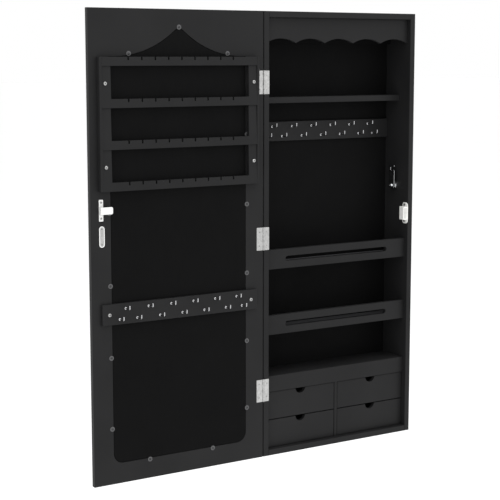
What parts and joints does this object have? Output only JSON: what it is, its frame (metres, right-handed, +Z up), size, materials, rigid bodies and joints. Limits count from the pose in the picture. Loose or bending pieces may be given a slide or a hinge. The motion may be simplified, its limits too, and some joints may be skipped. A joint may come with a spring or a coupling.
{
  "type": "jewelry mirror cabinet",
  "caption": "Shallow wall cabinet with a mirror door, hooks, slotted trays, shelves, small drawers, an earring rack and a cam lock, shown fully open.",
  "frame": {"origin": "middle of the cabinet's back, on the wall plane", "axes": "+Z up, +Y into the wall, +X to the right of someone who faces the open cabinet"},
  "size_m": [0.7538, 0.1097, 0.9],
  "materials": {
    "black_paint": "satin black paint on board",
    "black_board": "matte black faced hardboard",
    "mirror": "silvered float glass",
    "steel_hardware": "nickel plated steel",
    "chrome_hardware": "polished chrome plate",
    "grey_washer": "grey coated steel",
    "white_plastic": "moulded white plastic",
    "white_metal": "white coated steel",
    "beech_dowel": "plain beech"
  },
  "bodies": {
    "cabinet": {"left_side": "black_paint", "right_side": "black_paint", "top_panel": "black_paint", "bottom_panel": "black_paint", "carcass_dowels": "beech_dowel", "back_panel": "black_board", "hanging_rail": "black_paint", "scalloped_valance": "black_paint", "upper_shelf": "black_paint", "inner_hook_bar": "black_paint", "inner_hooks": "chrome_hardware", "upper_tray_rail": "black_paint", "upper_tray_floor": "black_paint", "lower_tray_rail": "black_paint", "lower_tray_floor": "black_paint", "drawer_cover_shelf": "black_paint", "drawer_fascia": "black_paint", "drawer_divider": "black_paint", "drawer_decks": "black_paint", "cabinet_hinge_leaves": "steel_hardware", "cabinet_hinge_screws": "steel_hardware", "catch_body": "white_plastic", "catch_magnet": "steel_hardware", "catch_screws": "steel_hardware", "lock_barrel": "chrome_hardware", "lock_nut": "chrome_hardware"},
    "door": {"door_frame": "black_paint", "mirror_glass": "mirror", "mirror_backing": "black_board", "mirror_washers": "grey_washer", "mirror_washer_screws": "steel_hardware", "rack_cheeks": "black_paint", "rack_top_bar": "black_paint", "rack_board_upper": "black_paint", "rack_board_middle": "black_paint", "rack_board_lower": "black_paint", "door_pan_screws": "steel_hardware", "door_hook_bar": "black_paint", "door_hooks": "chrome_hardware", "door_hinge_leaves": "steel_hardware", "hinge_pins": "steel_hardware", "door_hinge_screws": "steel_hardware", "latch_bracket": "white_metal", "catch_plate": "steel_hardware", "door_fitting_screws": "steel_hardware"},
    "lock_turn": {"lock_plug": "chrome_hardware", "lock_cam": "chrome_hardware", "lock_cam_screw": "chrome_hardware"},
    "drawer_lower_left": {"drawer_lower_left_front": "black_paint", "drawer_lower_left_sides": "black_paint", "drawer_lower_left_floor": "black_paint"},
    "drawer_lower_right": {"drawer_lower_right_front": "black_paint", "drawer_lower_right_sides": "black_paint", "drawer_lower_right_floor": "black_paint"},
    "drawer_upper_left": {"drawer_upper_left_front": "black_paint", "drawer_upper_left_sides": "black_paint", "drawer_upper_left_floor": "black_paint"},
    "drawer_upper_right": {"drawer_upper_right_front": "black_paint", "drawer_upper_right_sides": "black_paint", "drawer_upper_right_floor": "black_paint"}
  },
  "joints": [
    {"name": "door_hinge", "type": "hinge", "parent": "cabinet", "child": "door", "pos_m": [-0.1885, -0.085, 0], "axis": [0, 0, -1], "range_deg": [-180, 0]},
    {"name": "lock_cam_turn", "type": "hinge", "parent": "cabinet", "child": "lock_turn", "pos_m": [0.165, -0.039, 0.0863], "axis": [-1, 0, 0], "range_deg": [-90, 0]},
    {"name": "drawer_lower_left_slide", "type": "slide", "parent": "cabinet", "child": "drawer_lower_left", "axis": [0, -1, 0], "range_m": [0, 0.05]},
    {"name": "drawer_lower_right_slide", "type": "slide", "parent": "cabinet", "child": "drawer_lower_right", "axis": [0, -1, 0], "range_m": [0, 0.05]},
    {"name": "drawer_upper_left_slide", "type": "slide", "parent": "cabinet", "child": "drawer_upper_left", "axis": [0, -1, 0], "range_m": [0, 0.05]},
    {"name": "drawer_upper_right_slide", "type": "slide", "parent": "cabinet", "child": "drawer_upper_right", "axis": [0, -1, 0], "range_m": [0, 0.05]}
  ]
}
